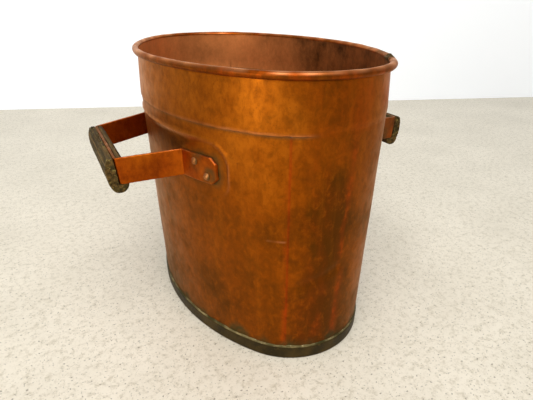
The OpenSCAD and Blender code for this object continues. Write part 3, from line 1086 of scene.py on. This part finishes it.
# %% Dark and dull finishes
def dull_finish(name, first, second, spots, rough, metallic, scale=60):
    """Clouds of two colours with spots of a third, where dirt and painted shadow take the second
    colour.
    """
    first, second, spots = linear(*first), linear(*second), linear(*spots)
    material, tree, shader = start_material(name)
    place = object_place(tree)
    clouds = grain_of(tree, place, scale, 5, 0.6)
    fine = grain_of(tree, place, scale * 9, 4, 0.65)
    colour = blend_colours(tree, between(tree, clouds, 0.35, 0.65), first, second)
    colour = blend_colours(tree, between(tree, fine, 0.56, 0.72), colour, spots)
    colour = blend_colours(tree, mask(tree, "dirt_and_shadow"), colour, second)
    plug(tree, colour, shader.inputs["Base Color"])
    shader.inputs["Specular IOR Level"].default_value = 0.15
    shader.inputs["Metallic"].default_value = metallic
    plug(tree, between(tree, fine, 0.3, 0.7, rough - 0.08, rough + 0.1), shader.inputs["Roughness"])
    roughen(tree, shader, fine, 0.4, 0.4 * MM)
    return material


pan_oxide = dull_finish("pan_oxide", (78, 60, 24), (44, 35, 13), (100, 80, 40), 0.55, 0.5, 30)
old_solder = dull_finish("old_solder", (170, 150, 104), (58, 52, 22), (196, 178, 132), 0.5, 0.4, 28)
# The collar's solder is painted dark, as the shadow under the collar's edge.
collar_solder_and_shadow = dull_finish("collar_solder_and_shadow", (70, 34, 10), (40, 20, 8), (104, 52, 18), 0.5, 0.7, 90)
rusty_iron = dull_finish("rusty_iron", (60, 50, 44), (92, 58, 38), (36, 30, 28), 0.6, 0.6)
plate_copper = dull_finish("plate_copper", (176, 104, 60), (132, 76, 42), (92, 56, 32), 0.45, 0.8)
pan.data.materials.append(pan_oxide)
beads["pan_solder"].data.materials.append(old_solder)
beads["collar_solder"].data.materials.append(collar_solder_and_shadow)
kept_nodes = {"rim_wire": rusty_iron, "grip_nails_left": rusty_iron, "grip_nails_right": rusty_iron,
              "backing_plate_left": plate_copper, "backing_plate_right": plate_copper}
for node, material in kept_nodes.items():
    nodes[node].data.materials.clear()
    nodes[node].data.materials.append(material)
print("dull finishes on the pan, the solder and", len(kept_nodes), "nodes")

# %% [markdown]
# ## Old wood
# The grips are grey brown, with dark cracks along the grain and pale lichen-like flecks of
# verdigris washed on from the copper. The noise is stretched along Y so that it reads as grain.

# %% The wood finish
def wood_finish():
    material, tree, shader = start_material("weathered_wood")
    place = object_place(tree)
    along = object_place(tree, (1, 0.05, 1))
    fibres = grain_of(tree, along, 700, 5, 0.6)
    bands = grain_of(tree, along, 190, 3, 0.5, 0.5)
    patches = grain_of(tree, place, 60, 4, 0.6)
    flecks = between(tree, grain_of(tree, place, 260, 4, 0.65), 0.57, 0.66)
    colour = blend_colours(tree, between(tree, bands, 0.35, 0.65),
                           linear(100, 76, 38), linear(54, 41, 17))
    colour = blend_colours(tree, between(tree, fibres, 0.5, 0.7, 0, 0.8), colour, linear(20, 15, 8))
    colour = blend_colours(tree, between(tree, patches, 0.45, 0.7, 0, 0.6), colour, linear(50, 48, 24))
    patchy = between(tree, patches, 0.4, 0.6, 0, 0.8)
    colour = blend_colours(tree, sum_of(tree, "MULTIPLY", flecks, patchy), colour,
                           linear(140, 122, 66))
    plug(tree, colour, shader.inputs["Base Color"])
    plug(tree, between(tree, fibres, 0.3, 0.7, 0.62, 0.85), shader.inputs["Roughness"])
    shader.inputs["Specular IOR Level"].default_value = 0.08
    roughen(tree, shader, fibres, 0.6, 0.5 * MM)
    return material


weathered_wood = wood_finish()
for piece in grips:
    piece.data.materials.append(weathered_wood)
print("wood on", len(grips), "grips")

# %% [markdown]
# ## The room
# A pale concrete floor and a white wall reflect in the copper as much as the lamps do, so
# they matter to the metal's look. The lamps are large and soft. The floor's speckle is noise.

# %% Floor and wall
def stage_sheet(name, corners, material):
    mesh = bpy.data.meshes.new(name)
    mesh.from_pydata(corners, [], [(0, 1, 2, 3)])
    sheet = bpy.data.objects.new(name, mesh)
    bpy.context.scene.collection.objects.link(sheet)
    mesh.materials.append(material)
    return sheet


def floor_finish():
    material, tree, shader = start_material("pale_concrete")
    place = object_place(tree)
    clouds = grain_of(tree, place, 5, 6, 0.6)
    sand = grain_of(tree, place, 90, 12, 0.85, 0.2)
    grit = between(tree, grain_of(tree, place, 300, 1, 0.5), 0.66, 0.7)
    colour = blend_colours(tree, clouds, linear(236, 228, 211), linear(200, 192, 174))
    colour = blend_colours(tree, between(tree, sand, 0.48, 0.62, 0, 0.6), colour, linear(166, 156, 132))
    colour = blend_colours(tree, sum_of(tree, "MULTIPLY", grit, 0.7), colour, linear(96, 90, 78))
    plug(tree, colour, shader.inputs["Base Color"])
    shader.inputs["Roughness"].default_value = 0.45
    return material


def wall_finish():
    material, tree, shader = start_material("white_wall")
    clouds = grain_of(tree, object_place(tree), 1.5, 3, 0.5)
    plug(tree, blend_colours(tree, clouds, linear(250, 252, 255), linear(246, 250, 255)),
         shader.inputs["Base Color"])
    shader.inputs["Roughness"].default_value = 0.8
    shader.inputs["Emission Color"].default_value = (0.94, 0.97, 1, 1)
    shader.inputs["Emission Strength"].default_value = 0.14
    return material


FLOOR_REACH = 8
WALL_EXTRA = 6
WALL_TOP = Vector((0, 0, 4))
WALL_LEFT = Vector((-0.47, 1.58, 0))
WALL_RIGHT = Vector((1.91, 0.72, 0))
wall_run = (WALL_RIGHT - WALL_LEFT).normalized()
wall_a, wall_b = WALL_LEFT - wall_run * WALL_EXTRA, WALL_RIGHT + wall_run * WALL_EXTRA
stage_sheet("floor", [(x * FLOOR_REACH, y * FLOOR_REACH, 0) for x, y in
                      ((-1, -1), (1, -1), (1, 1), (-1, 1))], floor_finish())
stage_sheet("backdrop", [tuple(corner) for corner in
                         (wall_a, wall_b, wall_b + WALL_TOP, wall_a + WALL_TOP)], wall_finish())
print("wall is", round(wall_a.to_2d().length, 2), "m away at its left end")

# %% Lamps and world
def soft_lamp(name, place, target, size, power, colour=(1, 1, 1)):
    light = bpy.data.lights.new(name, "AREA")
    light.shape = "RECTANGLE"
    light.size, light.size_y = size
    light.energy = power
    light.color = colour
    lamp = bpy.data.objects.new(name, light)
    lamp.location = place
    lamp.rotation_euler = (Vector(target) - Vector(place)).to_track_quat("-Z", "Y").to_euler()
    bpy.context.scene.collection.objects.link(lamp)
    return lamp


soft_lamp("overhead", (-0.5, -1.1, 2.2), (0, 0, 0.2), (1.7, 1.7), 38, (1, 0.98, 0.95))
soft_lamp("from_left", (-1.3, -2.0, 1.7), (0, 0, 0.1), (1.0, 1.0), 16, (1, 0.97, 0.93))
soft_lamp("window", (-2.4, -1.05, 0.6), (0, -0.2, 0.36), (1.0, 0.7), 13, (1, 0.97, 0.94))
world = bpy.data.worlds.new("room")
bpy.context.scene.world = world
world.use_nodes = True
world.node_tree.nodes["Background"].inputs["Color"].default_value = (0.96, 0.98, 1, 1)
world.node_tree.nodes["Background"].inputs["Strength"].default_value = 0.6
bpy.context.scene.view_settings.view_transform = "Standard"
print("lamps", len(bpy.data.lights))
